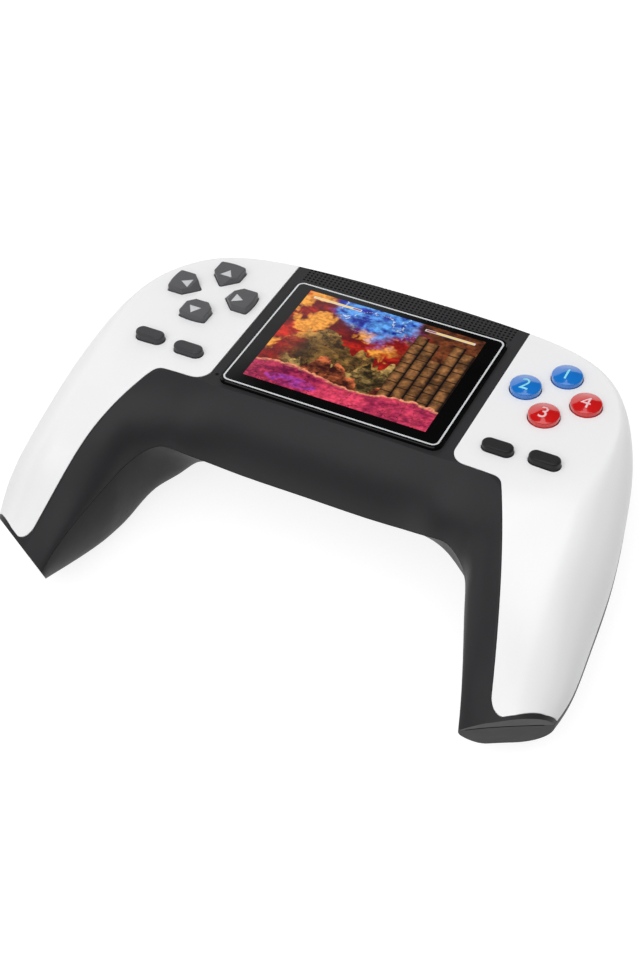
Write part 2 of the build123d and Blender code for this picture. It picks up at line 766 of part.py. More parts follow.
def make_parts():
    upper_skin = hollow_half(upper_control_points, 0)
    lower_skin = hollow_half(lower_control_points, parting_gap)
    upper_body = loft_body(upper_control_points, 0, wall / 3)
    lower_body = loft_body(lower_control_points, parting_gap, wall / 3)

    parts = {
        "front_shell": make_front_shell(upper_skin),
        "left_wing": make_wing(upper_skin, upper_body, -1),
        "right_wing": make_wing(upper_skin, upper_body, 1),
        "rear_shell": make_rear_shell(lower_skin, lower_body),
        "battery_door": make_battery_door(lower_skin),
        "screen_glass": make_glass(),
        "display_panel": make_display(),
        "display_bracket": make_display_bracket(),
        "display_ribbon": make_display_ribbon(),
        "main_board": make_board(),
        "main_chip": make_main_chip(),
        "board_components": Compound(children=make_board_parts()),
        "light_pipe": make_light_pipe(),
        "left_key_sheet": make_key_sheet(-1),
        "right_key_sheet": make_key_sheet(1),
        "speaker": make_speaker(),
        "charge_port": make_charge_port(),
        "av_jack": make_av_jack(),
        "power_switch": make_power_switch(),
        "power_knob": make_power_knob(),
        "battery": make_battery(),
        "battery_contacts": Compound(children=make_battery_contacts()),
        "case_screws": Compound(children=make_case_screws()),
        "door_screw": screw(0, tab_screw_y(), belly_z + door_screw_sink, door_screw_length),
    }
    arrow_names = {"top": "dpad_up", "left": "dpad_left", "bottom": "dpad_down",
                   "right": "dpad_right"}
    arrow = arrow_key()
    button = round_button()
    for name, (_, turn) in cluster_places(-cluster_x).items():
        parts[arrow_names[name]] = arrow_place(-cluster_x, turn) * arrow
    for name, (middle, turn) in cluster_places(cluster_x).items():
        parts["action_" + name] = Pos(*middle, 0) * button
    pill = pill_key()
    pill_names = {-1: ("volume_key", "reset_key"), 1: ("select_key", "start_key")}
    for side, names in pill_names.items():
        for name, middle in zip(names, pill_places(side)):
            parts[name] = Pos(*middle, 0) * pill
    return parts


parts = make_parts()
tilt = lay_down()
turn = Rot(-tilt, 0, 0)
outside = Compound(children=[turn * part for part in parts.values()]).bounding_box()
seat = Pos(0, -(outside.min.Y + outside.max.Y) / 2, -outside.min.Z) * turn
os.makedirs("parts", exist_ok=True)
for name, part in parts.items():
    laid = seat * part
    laid.label = name
    export_step(laid, "parts/" + name + ".step")
print("tilt", round(tilt, 4), "shift", [round(v, 4) for v in seat.position])
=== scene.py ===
"""Looks of a handheld game console: finishes, screen picture, key marks and a plain studio."""
import json

import bmesh
import bpy
import numpy as np
from mathutils import Matrix, Vector


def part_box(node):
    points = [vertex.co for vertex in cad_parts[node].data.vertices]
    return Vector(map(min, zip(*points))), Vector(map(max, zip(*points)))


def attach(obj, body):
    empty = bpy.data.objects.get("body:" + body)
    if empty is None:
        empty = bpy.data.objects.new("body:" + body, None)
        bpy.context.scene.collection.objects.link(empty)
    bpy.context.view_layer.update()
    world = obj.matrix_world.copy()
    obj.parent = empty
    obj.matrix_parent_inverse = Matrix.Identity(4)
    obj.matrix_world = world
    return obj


bl_info = {
    "name": "Handheld console looks",
    "version": (1, 0, 0),
    "blender": (4, 5, 0),
    "location": "View3D > Sidebar > Console",
    "description": "Finishes, screen picture, key marks and studio for a handheld game console",
    "category": "Object",
}

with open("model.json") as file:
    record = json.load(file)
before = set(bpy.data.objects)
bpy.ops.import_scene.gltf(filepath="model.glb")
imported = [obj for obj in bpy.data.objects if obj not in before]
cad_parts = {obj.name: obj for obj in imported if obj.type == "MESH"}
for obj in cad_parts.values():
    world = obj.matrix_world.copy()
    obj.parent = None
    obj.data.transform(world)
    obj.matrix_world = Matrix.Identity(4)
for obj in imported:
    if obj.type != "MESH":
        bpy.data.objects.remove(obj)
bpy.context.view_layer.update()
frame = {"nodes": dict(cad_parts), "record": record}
MM = 0.001

# The face of the console: its zero is the middle of the screen glass, its rows are the
# directions to the right, away from the player and out of the face.
FACE = next(m for m in frame["record"]["mounts"] if m["name"] == "screen_face")
FACE_ZERO = np.array(FACE["pos_m"], float)
FACE_OUT = np.array(FACE["axis"], float)
FACE_AXES = np.array([[1, 0, 0], [0, FACE_OUT[2], -FACE_OUT[1]], FACE_OUT])

# Camera over the face: heading, height and roll in radians, the point it looks at and its
# distance in face millimetres, its focal length in pixels of a 960 pixel high picture, and
# the sensor's longer side in millimetres.
CAMERA_TURN, CAMERA_HEIGHT, CAMERA_ROLL = 0.483698, 0.765132, -0.024275
CAMERA_TARGET, CAMERA_DISTANCE = (11.8631, -54.8548, 0), 505.5395
FOCAL_PIXELS, PICTURE_PIXELS, SENSOR = 1731.506, 960, 36.0
CAMERA_BACK = np.array([np.sin(CAMERA_TURN) * np.cos(CAMERA_HEIGHT),
                        -np.cos(CAMERA_TURN) * np.cos(CAMERA_HEIGHT),
                        np.sin(CAMERA_HEIGHT)])
CAMERA_EYE = np.array(CAMERA_TARGET) + CAMERA_DISTANCE * CAMERA_BACK

# Levels of light, where 1 is white: the floor's own glow, the surroundings where they only
# light the console, and their dark side as gloss sees it.
FLOOR_GLOW, SURROUNDING_LIGHT, DARK_SIDE = 0.83, 0.5, 0.03

# Spots of the glass in face millimetres: two on the mirrored line, one on its bright side.
GLASS_BACK_MIDDLE, GLASS_FRONT_LEFT, GLASS_BACK_LEFT = (0, 28), (-37, -28), (-37, 28)

# Floor and softbox, in metres and radians.
FLOOR_REACH, FLOOR_LEVEL, FLOOR_POINTS = 3.0, -0.0002, 25
LAMP_WIDTH, LAMP_DEPTH, LAMP_TURN = 1.0, 1.6, -0.4415
LAMP_PLACE = (0.01, -0.15, 0.98)

# Finishes: lumps per metre of the clouds of colour, the uneven gloss, the grain, the lit
# picture's speckle and the floor's clouds, then how far roughness strays, how deep the grain
# is in metres, and how rough a clear coat is.
CLOUD_PITCH, GLOSS_PITCH, GRAIN_PITCH = 45.0, 160.0, 2200.0
SPECKLE_PITCH, FLOOR_PITCH = 1400.0, 8.0
GLOSS_SPREAD, GRAIN_DEPTH, COAT_ROUGHNESS = 0.05, 0.00003, 0.04

# Drawings on the face, in millimetres: the printed line, the lit picture with its grid, the
# ink, the height from which ink is dropped onto a key, and the arrows.
LINE_WIDTH, LINE_DEPTH, LINE_CORNER, LINE_HEIGHT = 73.0, 53.7, 2.0, 0.03
PICTURE_X, PICTURE_Y, PICTURE_LIFT = -0.2, 0.9, 0.02
PICTURE_COLUMNS, PICTURE_ROWS = 345, 260
INK_LIFT, INK_THICK, INK_EDGE = 0.02, 0.03, 0.6
RAY_START = 20.0
ARROW = np.array([[0, 1.7], [-2.15, -1.7], [2.15, -1.7]])
ARROW_PLACES = {"up": (-59.7, 19.4), "left": (-70.0, 9.0), "down": (-60.6, -2.6),
                "right": (-49.9, 8.6)}


def lay(points):
    """Points drawn on the face in millimetres, set into the row frame in metres."""
    return FACE_ZERO + np.asarray(points, float) * MM @ FACE_AXES


def paint(red, green, blue):
    """A colour named by its 0-255 screen values, as the linear light that shaders take."""
    share = np.array([red, green, blue]) / 255
    linear = np.where(share <= 0.04045, share / 12.92, ((share + 0.055) / 1.055) ** 2.4)
    return tuple(float(v) for v in linear)


def step(low, high, value):
    """Smooth ramp from 0 at low to 1 at high: three squares less two cubes of the share."""
    share = np.clip((value - low) / (high - low), 0, 1)
    return share * share * (3 - 2 * share)


def blend(under, over, share):
    """Mixes two colours, or fields of colour, by a field of shares."""
    share = np.asarray(share, float)[..., None]
    return np.asarray(under) * (1 - share) + np.asarray(over) * share


def add_piece(name, points, faces, material, body, colours=None, smooth=True):
    """Puts worked-out points (row frame, metres) and faces into a piece that rides a body."""
    mesh = bpy.data.meshes.new(name)
    mesh.from_pydata(np.asarray(points).tolist(), [], [list(map(int, f)) for f in faces])
    mesh.polygons.foreach_set("use_smooth", np.full(len(mesh.polygons), smooth))
    if colours is not None:
        layer = mesh.color_attributes.new("paint", "FLOAT_COLOR", "POINT")
        rgba = np.ones((len(points), 4), np.float32)
        rgba[:, :3] = colours
        layer.data.foreach_set("color", rgba.ravel())
    mesh.materials.append(material)
    mesh.update()
    piece = bpy.data.objects.new(name, mesh)
    bpy.context.scene.collection.objects.link(piece)
    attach(piece, body)
    return piece


def grid_faces(rows, columns, wrap=False):
    """Quads of a rows x columns grid of points; wrap joins the last column to the first."""
    r, c = np.meshgrid(np.arange(rows - 1), np.arange(columns - (not wrap)), indexing="ij")
    a = r * columns + c
    b = r * columns + (c + 1) % columns
    return np.stack([a, b, b + columns, a + columns], -1).reshape(-1, 4)


def rounded_rectangle(width, depth, corner, steps=10):
    """Closed outline: four quarter circles of the corner radius about an inset rectangle."""
    angle = np.linspace(0, np.pi / 2, steps)
    arcs = []
    for turn, (sx, sy) in enumerate(((1, 1), (-1, 1), (-1, -1), (1, -1))):
        a = angle + turn * np.pi / 2
        centre = np.array([sx * (width / 2 - corner), sy * (depth / 2 - corner)])
        arcs.append(centre + corner * np.stack([np.cos(a), np.sin(a)], 1))
    return np.concatenate(arcs)


def drape(node, flat, lift):
    """Moves points of a flat drawing straight down the face onto a CAD node's skin."""
    target = frame["nodes"][node]
    direction = Vector(-FACE_OUT)
    heights = []
    for x, y in flat:
        start = Vector(lay([(x, y, RAY_START)])[0])
        hit, place, _, _ = target.ray_cast(start, direction)
        if not hit:
            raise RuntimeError(f"a mark falls outside {node}")
        heights.append(RAY_START - (place - start).length / MM + lift)
    return lay(np.column_stack([flat, heights]))


def add_print(name, node, flat, faces, material):
    """A thin layer of ink: a flat drawing cut fine, laid on a key's skin, with a thickness."""
    mesh = bmesh.new()
    corners = [mesh.verts.new((x, y, 0)) for x, y in flat]
    for face in faces:
        mesh.faces.new([corners[i] for i in face])
    bmesh.ops.triangulate(mesh, faces=mesh.faces[:])
    for _ in range(5):
        long_edges = [e for e in mesh.edges if e.calc_length() > INK_EDGE]
        if not long_edges:
            break
        bmesh.ops.subdivide_edges(mesh, edges=long_edges, cuts=1)
        bmesh.ops.triangulate(mesh, faces=mesh.faces[:])
    mesh.verts.index_update()
    fine = np.array([v.co[:2] for v in mesh.verts])
    triangles = [[v.index for v in f.verts] for f in mesh.faces]
    mesh.free()
    ink = add_piece(name, drape(node, fine, INK_LIFT), triangles, material, node)
    layer = ink.modifiers.new("ink thickness", "SOLIDIFY")
    layer.thickness = INK_THICK * MM
    layer.offset = 1.0


def fresh_material(name):
    """An empty node material with its principled shader."""
    material = bpy.data.materials.new(name)
    material.use_nodes = True
    tree = material.node_tree
    return material, tree, tree.nodes["Principled BSDF"]


def noise(tree, scale, detail=3.0):
    """Noise over the piece's own coordinates; the scale is in lumps per metre."""
    where = tree.nodes.new("ShaderNodeTexCoord")
    node = tree.nodes.new("ShaderNodeTexNoise")
    node.inputs["Scale"].default_value = scale
    node.inputs["Detail"].default_value = detail
    tree.links.new(where.outputs["Object"], node.inputs["Vector"])
    return node


def moulded(name, colour, roughness, grain=0.0, variation=0.05, coat=0.0, metal=0.0,
            specular=0.5):
    """Moulded or plated finish: clouds of slightly lighter colour, uneven gloss, fine grain."""
    material, tree, shader = fresh_material(name)
    links = tree.links
    tint = tree.nodes.new("ShaderNodeMix")
    tint.data_type = "RGBA"
    low = np.array(colour) * (1 - variation)
    high = np.minimum(np.array(colour) * (1 + variation) + 0.002, 1)
    tint.inputs[6].default_value = (*low, 1)
    tint.inputs[7].default_value = (*high, 1)
    links.new(noise(tree, CLOUD_PITCH).outputs["Fac"], tint.inputs[0])
    links.new(tint.outputs[2], shader.inputs["Base Color"])
    spread = tree.nodes.new("ShaderNodeMapRange")
    spread.inputs["To Min"].default_value = max(roughness - GLOSS_SPREAD, 0.02)
    spread.inputs["To Max"].default_value = roughness + GLOSS_SPREAD
    links.new(noise(tree, GLOSS_PITCH).outputs["Fac"], spread.inputs["Value"])
    links.new(spread.outputs["Result"], shader.inputs["Roughness"])
    bump = tree.nodes.new("ShaderNodeBump")
    bump.inputs["Strength"].default_value = 0.02 + grain
    bump.inputs["Distance"].default_value = GRAIN_DEPTH
    links.new(noise(tree, GRAIN_PITCH, 2.0).outputs["Fac"], bump.inputs["Height"])
    links.new(bump.outputs["Normal"], shader.inputs["Normal"])
    shader.inputs["Metallic"].default_value = metal
    shader.inputs["Coat Weight"].default_value = coat
    shader.inputs["Coat Roughness"].default_value = COAT_ROUGHNESS
    shader.inputs["Specular IOR Level"].default_value = specular
    return material


def painted_light(name):
    """Glowing picture: light and colour come from the piece's paint, on a smooth dark face."""
    material, tree, shader = fresh_material(name)
    paint_node = tree.nodes.new("ShaderNodeAttribute")
    paint_node.attribute_name = "paint"
    mix = tree.nodes.new("ShaderNodeMix")
    mix.data_type = "RGBA"
    mix.blend_type = "MULTIPLY"
    mix.inputs[0].default_value = 0.1
    tree.links.new(paint_node.outputs["Color"], mix.inputs[6])
    tree.links.new(noise(tree, SPECKLE_PITCH).outputs["Color"], mix.inputs[7])
    tree.links.new(mix.outputs[2], shader.inputs["Emission Color"])
    shader.inputs["Emission Strength"].default_value = 1.0
    shader.inputs["Base Color"].default_value = (0.003, 0.003, 0.004, 1)
    shader.inputs["Roughness"].default_value = 0.07
    shader.inputs["Specular IOR Level"].default_value = 0.25
    return material


def dress(material, *nodes):
    """Gives CAD nodes their finish."""
    for node in nodes:
        mesh = frame["nodes"][node].data
        mesh.materials.clear()
        mesh.materials.append(material)


class ConsoleLooks(bpy.types.PropertyGroup):
    """Sizes and colours that a user would change."""

    panel_colour: bpy.props.FloatVectorProperty(
        name="Panels", description="White of the two side panels", subtype="COLOR",
        default=paint(243, 243, 244), min=0, max=1)
    strip_colour: bpy.props.FloatVectorProperty(
        name="Strip", description="Near black of the middle strip", subtype="COLOR",
        default=paint(44, 44, 46), min=0, max=1)
    # Painted shade: the lower housing's colour is set darker than the strip's so that the
    # underside reads as shaded.
    belly_colour_and_shade: bpy.props.FloatVectorProperty(
        name="Belly", description="Dark grey of the lower housing", subtype="COLOR",
        default=paint(38, 38, 40), min=0, max=1)
    key_colour: bpy.props.FloatVectorProperty(
        name="Dark keys", description="Grey of the arrow keys", subtype="COLOR",
        default=paint(86, 86, 88), min=0, max=1)
    long_key_colour: bpy.props.FloatVectorProperty(
        name="Left long keys", description="Grey of the left long keys", subtype="COLOR",
        default=paint(60, 60, 62), min=0, max=1)
    black_key_colour: bpy.props.FloatVectorProperty(
        name="Right long keys", description="Black of the right long keys", subtype="COLOR",
        default=paint(30, 30, 32), min=0, max=1)
    blue_colour: bpy.props.FloatVectorProperty(
        name="Blue buttons", description="Blue of two round buttons", subtype="COLOR",
        default=paint(14, 116, 206), min=0, max=1)
    red_colour: bpy.props.FloatVectorProperty(
        name="Red buttons", description="Red of two round buttons", subtype="COLOR",
        default=paint(206, 16, 18), min=0, max=1)
    line_colour: bpy.props.FloatVectorProperty(
        name="Printed line", description="Silver line round the picture", subtype="COLOR",
        default=paint(222, 224, 227), min=0, max=1)
    line_width: bpy.props.FloatProperty(
        name="Line width", description="Width of the printed line", default=0.55 * MM,
        min=0.0001, unit="LENGTH")
    picture_width: bpy.props.FloatProperty(
        name="Picture width", description="Lit width of the display", default=62.4 * MM,
        min=0.01, unit="LENGTH")
    picture_depth: bpy.props.FloatProperty(
        name="Picture depth", description="Lit depth of the display", default=46.9 * MM,
        min=0.01, unit="LENGTH")
    numeral_size: bpy.props.FloatProperty(
        name="Numeral size", description="Letter size of the button numbers",
        default=6.8 * MM, min=0.001, unit="LENGTH")
    lamp_power: bpy.props.FloatProperty(
        name="Softbox power", description="Power of the soft lamp", default=7.9, min=0,
        unit="POWER")


class CONSOLE_OT_stage(bpy.types.Operator):
    """Build the floor, the soft lamp, the surroundings and the camera"""

    bl_idname = "console.stage"
    bl_label = "Stage"

    @staticmethod
    def seen_rays(tree):
        """1 for rays that come from the camera, a mirror or glass, else 0."""
        rays = tree.nodes.new("ShaderNodeLightPath")
        mirrored = tree.nodes.new("ShaderNodeMath")
        mirrored.operation = "MAXIMUM"
        tree.links.new(rays.outputs["Is Glossy Ray"], mirrored.inputs[0])
        tree.links.new(rays.outputs["Is Transmission Ray"], mirrored.inputs[1])
        seen = tree.nodes.new("ShaderNodeMath")
        seen.operation = "MAXIMUM"
        tree.links.new(rays.outputs["Is Camera Ray"], seen.inputs[0])
        tree.links.new(mirrored.outputs[0], seen.inputs[1])
        return seen.outputs[0]

    def floor(self, context):
        """Level square grid of points, grey to the lamp and white to the eye by its glow."""
        material, tree, shader = fresh_material("pale_floor")
        tint = tree.nodes.new("ShaderNodeMix")
        tint.data_type = "RGBA"
        tint.inputs[6].default_value = (0.29, 0.29, 0.29, 1)
        tint.inputs[7].default_value = (0.31, 0.31, 0.31, 1)
        tree.links.new(noise(tree, FLOOR_PITCH).outputs["Fac"], tint.inputs[0])
        tree.links.new(tint.outputs[2], shader.inputs["Base Color"])
        shader.inputs["Roughness"].default_value = 0.9
        shader.inputs["Specular IOR Level"].default_value = 0.0
        glow = tree.nodes.new("ShaderNodeMath")
        glow.operation = "MULTIPLY"
        glow.inputs[1].default_value = FLOOR_GLOW
        tree.links.new(self.seen_rays(tree), glow.inputs[0])
        shader.inputs["Emission Color"].default_value = (1, 1, 1, 1)
        tree.links.new(glow.outputs[0], shader.inputs["Emission Strength"])
        side = np.linspace(-FLOOR_REACH, FLOOR_REACH, FLOOR_POINTS)
        x, y = np.meshgrid(side, side)
        points = np.stack([x, y, np.full_like(x, FLOOR_LEVEL)], -1).reshape(-1, 3)
        mesh = bpy.data.meshes.new("floor")
        mesh.from_pydata(points.tolist(), [], grid_faces(FLOOR_POINTS, FLOOR_POINTS).tolist())
        mesh.materials.append(material)
        sheet = bpy.data.objects.new("floor", mesh)
        context.scene.collection.objects.link(sheet)

    @staticmethod
    def mirrored(spot):
        """Way of the camera's look at a spot of the glass once mirrored: from the eye to the
        spot, with the part out of the face turned round."""
        return (np.array([*spot, 0]) - CAMERA_EYE) * (1, 1, -1)

    def surroundings(self, context):
        """White to the camera. Gloss sees them white on one side of a plane and dark on the
        other. The glass mirrors that plane as a slanting line from the middle of its back
        edge to its front left corner."""
        plane = np.cross(self.mirrored(GLASS_BACK_MIDDLE), self.mirrored(GLASS_FRONT_LEFT))
        plane *= np.sign(plane @ self.mirrored(GLASS_BACK_LEFT)) / np.linalg.norm(plane)

        world = bpy.data.worlds.new("surroundings")
        world.use_nodes = True
        context.scene.world = world
        tree = world.node_tree
        background = tree.nodes["Background"]
        background.inputs["Color"].default_value = (1, 1, 1, 1)
        heading = tree.nodes.new("ShaderNodeTexCoord")
        side = tree.nodes.new("ShaderNodeVectorMath")
        side.operation = "DOT_PRODUCT"
        side.inputs[1].default_value = plane @ FACE_AXES
        tree.links.new(heading.outputs["Generated"], side.inputs[0])
        gloss = tree.nodes.new("ShaderNodeMapRange")
        for socket, value in (("From Min", -0.004), ("From Max", 0.004),
                              ("To Min", DARK_SIDE), ("To Max", 1.0)):
            gloss.inputs[socket].default_value = value
        tree.links.new(side.outputs["Value"], gloss.inputs["Value"])
        rays = tree.nodes.new("ShaderNodeLightPath")
        unseen = tree.nodes.new("ShaderNodeMix")
        unseen.inputs[2].default_value = SURROUNDING_LIGHT
        tree.links.new(rays.outputs["Is Glossy Ray"], unseen.inputs[0])
        tree.links.new(gloss.outputs["Result"], unseen.inputs[3])
        direct = tree.nodes.new("ShaderNodeMath")
        direct.operation = "MAXIMUM"
        tree.links.new(rays.outputs["Is Camera Ray"], direct.inputs[0])
        tree.links.new(rays.outputs["Is Transmission Ray"], direct.inputs[1])
        level = tree.nodes.new("ShaderNodeMix")
        level.inputs[3].default_value = 1.0
        tree.links.new(direct.outputs[0], level.inputs[0])
        tree.links.new(unseen.outputs[0], level.inputs[2])
        tree.links.new(level.outputs[0], background.inputs["Strength"])

    def softbox(self, context):
        """One wide lamp overhead that faces straight down."""
        lamp = bpy.data.lights.new("softbox", "AREA")
        lamp.shape = "RECTANGLE"
        lamp.size, lamp.size_y = LAMP_WIDTH, LAMP_DEPTH
        lamp.energy = context.scene.console_looks.lamp_power
        softbox = bpy.data.objects.new("softbox", lamp)
        context.scene.collection.objects.link(softbox)
        softbox.location = LAMP_PLACE
        softbox.rotation_euler = (0, 0, LAMP_TURN)

    def camera(self, context):
        """Camera set over the face, rolled about its own line of sight."""
        camera = bpy.data.cameras.new("camera")
        camera.sensor_width = SENSOR
        camera.lens = FOCAL_PIXELS * SENSOR / PICTURE_PIXELS
        camera.clip_start, camera.clip_end = 0.01, 20
        viewer = bpy.data.objects.new("camera", camera)
        context.scene.collection.objects.link(viewer)
        right = np.array([np.cos(CAMERA_TURN), np.sin(CAMERA_TURN), 0])
        up = np.cross(CAMERA_BACK, right)
        cosine, sine = np.cos(CAMERA_ROLL), np.sin(CAMERA_ROLL)
        axes = np.stack([cosine * right + sine * up, -sine * right + cosine * up, CAMERA_BACK])
        matrix = np.eye(4)
        matrix[:3, :3] = (axes @ FACE_AXES).T
        matrix[:3, 3] = lay([CAMERA_EYE])[0]
        viewer.matrix_world = Matrix(matrix.tolist())
        context.scene.camera = viewer

    def execute(self, context):
        self.floor(context)
        self.surroundings(context)
        self.softbox(context)
        self.camera(context)
        context.scene.view_settings.view_transform = "Standard"
        return {"FINISHED"}


class CONSOLE_OT_housing(bpy.types.Operator):
    """Finish the housing: white panels, near-black strip, and a belly and door in a darker
    colour that holds painted shade
    """

    bl_idname = "console.housing"
    bl_label = "Housing"

    def execute(self, context):
        looks = context.scene.console_looks
        dress(moulded("white_panel", looks.panel_colour, 0.3, variation=0.006, coat=0.15),
              "left_wing", "right_wing")
        dress(moulded("black_strip", looks.strip_colour, 0.42, 0.1, specular=0.2),
              "front_shell")
        # Painted shade: the belly and the door take a darker colour than the strip, standing in
        # for the shade on the underside.
        dress(moulded("grey_belly_and_painted_shade", looks.belly_colour_and_shade, 0.48, 0.2, specular=0.15),
              "rear_shell", "battery_door")
        return {"FINISHED"}


class CONSOLE_OT_screen(bpy.types.Operator):
    """Finish the screen: black glass, printed line and a landscape on the display"""

    bl_idname = "console.screen"
    bl_label = "Screen"

    @staticmethod
    def cloud(u, v, cells, seed, octaves=5):
        """Cloudy field from 0 to 1: seeded random numbers on square lattices, eased between
        the lattice points, each octave twice as fine and 0.6 as strong as the last."""
        random = np.random.default_rng(seed)
        total, weight = np.zeros_like(u), 0.0
        for octave in range(octaves):
            count = cells * 2 ** octave
            lattice = random.random((count + 2, count + 2))
            x, y = np.clip(u, 0, 1) * count, np.clip(v, 0, 1) * count
            i, j = x.astype(int), y.astype(int)
            right, upper = step(0, 1, x - i), step(0, 1, y - j)
            near = lattice[j, i] * (1 - right) + lattice[j, i + 1] * right
            far = lattice[j + 1, i] * (1 - right) + lattice[j + 1, i + 1] * right
            total += 0.6 ** octave * (near * (1 - upper) + far * upper)
            weight += 0.6 ** octave
        return step(0.28, 0.72, total / weight)

    @staticmethod
    def sky(u, v, smoke, flame, fine, veins):
        """Red smoke at the left, a blue storm in an ellipse at the top, brown dusk at the
        right, each a mix of two or three colours by cloudy fields."""
        red = blend(paint(96, 4, 12), paint(226, 44, 20), smoke)
        red = blend(red, paint(255, 168, 64), 0.9 * step(0.55, 0.95, flame))
        storm = blend(paint(24, 30, 150), paint(96, 168, 246), fine)
        storm = blend(storm, paint(236, 246, 255), step(0.9, 0.99, veins))
        spot = 1 - np.hypot((u - 0.42) / 0.34, (v - 1.0) / 0.42)
        colour = blend(red, storm, step(0.0, 0.35, spot + 0.5 * (smoke - 0.5)))
        dusk = blend(paint(18, 8, 8), paint(126, 66, 34), 0.7 * fine + 0.3 * smoke)
        return blend(colour, dusk, step(0.6, 0.72, u + 0.12 * (flame - 0.5)))

    def mounds(self, colour, u, v):
        """Three rows of rock. Each crest is a sine plus a cloudy field of u alone, and its
        rock is a cloudy field that darkens below the crest, with dark cracks where the
        field passes its middle."""
        for crest, seed, low, high in (
                (0.52 + 0.1 * np.sin(5.5 * u + 0.6), 7, (58, 40, 22), (176, 132, 66)),
                (0.38 + 0.09 * np.sin(8.5 * u + 2.2), 8, (44, 34, 16), (198, 160, 92)),
                (0.27 + 0.07 * np.sin(12 * u + 4.0), 9, (60, 20, 14), (214, 112, 66))):
            lumps = self.cloud(u, v, 14, seed, 4)
            crest = crest + 0.12 * (self.cloud(u, np.full_like(v, 0.5), 12, seed + 10, 4) - 0.5)
            shade = step(0.0, 0.16, crest - v)
            rock = blend(paint(*low), paint(*high), lumps * (1.15 - 0.75 * shade))
            cracks = step(0.86, 0.97, 1 - np.abs(2 * lumps - 1))
            rock = blend(rock, paint(20, 10, 8), 0.9 * cracks)
            colour = blend(colour, rock, step(0.0, 0.006, crest - v) * step(0.05, 0.2, u))
        return colour

    @staticmethod
    def pillars(colour, u, v, fine):
        """Stone columns at the right: light follows a half sine across each, less a slope to
        the right, heights come from the fraction left of a large sine of the column's number,
        and joints are the peaks of a sine of v."""
        number = np.floor(u * 15)
        across = u * 15 - number
        height = 0.62 + 0.26 * ((np.sin(number * 12.9898) * 43758.5453) % 1.0)
        light = np.clip(np.sin(np.pi * across) ** 0.8 - 0.55 * across + 0.15, 0, 1)
        stone = blend(paint(14, 8, 8), paint(170, 116, 68), light * (0.35 + 0.65 * fine))
        joints = step(0.9, 0.97, np.sin(v * 60 + number * 2.4))
        stone = blend(stone, paint(10, 6, 6), 0.8 * joints)
        return blend(colour, stone, step(0.0, 0.006, height - v) * step(0.66, 0.67, u))

    @staticmethod
    def plain(colour, u, v, smoke, fine, veins):
        """Purple ground below a sine with a bright rim, cracked where a cloudy field passes
        its middle, with a violet pool as an ellipse."""
        edge = 0.2 + 0.03 * np.sin(9 * u) + 0.02 * (fine - 0.5)
        soil = blend(paint(112, 10, 62), paint(236, 74, 104), 0.55 * smoke + 0.45 * fine)
        soil = blend(soil, paint(40, 4, 40), 0.8 * step(0.9, 0.98, veins))
        soil = blend(paint(255, 170, 120), soil, step(0.0, 0.03, edge - v))
        colour = blend(colour, soil, step(0.0, 0.008, edge - v))
        pool = (u - 0.24) ** 2 * 0.6 + (v - 0.07) ** 2 * 5.0
        return blend(colour, paint(150, 60, 170), 0.8 * step(0.014, 0.012, pool) * fine)

    @staticmethod
    def energy_bars(colour, u, v):
        """Two plain bars at the top, pale frames with a yellow part that ends in red."""
        for start, end, full, way in ((0.04, 0.32, 0.27, 1), (0.68, 0.96, 0.74, -1)):
            reach = np.minimum(u - start, end - u)
            band = np.abs(v - 0.945)
            colour = blend(colour, paint(235, 235, 240),
                           step(0.0, 0.004, reach) * step(0.0, 0.004, 0.013 - band))
            lit = step(0.0, 0.003, way * (full - u))
            colour = blend(colour, blend(paint(150, 20, 24), paint(248, 208, 40), lit),
                           step(0.0, 0.004, reach - 0.005) * step(0.0, 0.004, 0.008 - band))
        return colour

    def landscape(self, u, v):
        """Colours over the picture, u to the right and v upward from 0 to 1, from the back
        of the scene to its front, under one field of fine light and dark, and two bars over
        all."""
        warp = 0.1 * (self.cloud(u, v, 3, 1) - 0.5)
        smoke, flame = self.cloud(u + warp, v, 4, 2), self.cloud(u, v + warp, 7, 3)
        fine, grit = self.cloud(u, v, 22, 4, 4), self.cloud(u, v, 60, 5, 3)
        veins = 1 - np.abs(2 * self.cloud(u + warp, v, 9, 6) - 1)
        colour = self.sky(u, v, smoke, flame, fine, veins)
        colour = self.mounds(colour, u, v)
        colour = self.pillars(colour, u, v, fine)
        colour = self.plain(colour, u, v, smoke, fine, veins)
        colour = colour * (0.72 + 0.56 * grit)[..., None]
        return np.clip(self.energy_bars(colour, u, v), 0, 1)

    def execute(self, context):
        looks = context.scene.console_looks
        dress(moulded("black_glass", paint(4, 4, 5), 0.06, specular=0.25), "screen_glass")
        width, depth = looks.picture_width / MM, looks.picture_depth / MM
        u, v = np.meshgrid(np.linspace(0, 1, PICTURE_COLUMNS), np.linspace(0, 1, PICTURE_ROWS))
        flat = np.stack([(u - 0.5) * width + PICTURE_X, (v - 0.5) * depth + PICTURE_Y,
                         np.full_like(u, PICTURE_LIFT)], -1).reshape(-1, 3)
        add_piece("screen_picture", lay(flat), grid_faces(PICTURE_ROWS, PICTURE_COLUMNS),
                  painted_light("lit_picture"), "housing",
                  self.landscape(u, v).reshape(-1, 3))
        half = looks.line_width / MM / 2
        profile = ((half, 0.0), (half, LINE_HEIGHT), (-half, LINE_HEIGHT), (-half, 0.0))
        outlines = []
        for grow, lift in profile:
            outline = rounded_rectangle(LINE_WIDTH + 2 * grow, LINE_DEPTH + 2 * grow,
                                        LINE_CORNER + grow)
            outlines.append(np.column_stack([outline, np.full(len(outline), lift)]))
        faces = grid_faces(len(profile), len(outlines[0]), wrap=True)
        line = moulded("silver_line", looks.line_colour, 0.3, 0.02, 0.04, metal=0.2)
        add_piece("glass_line", lay(np.concatenate(outlines)), faces, line, "housing",
                  smooth=False)
        return {"FINISHED"}


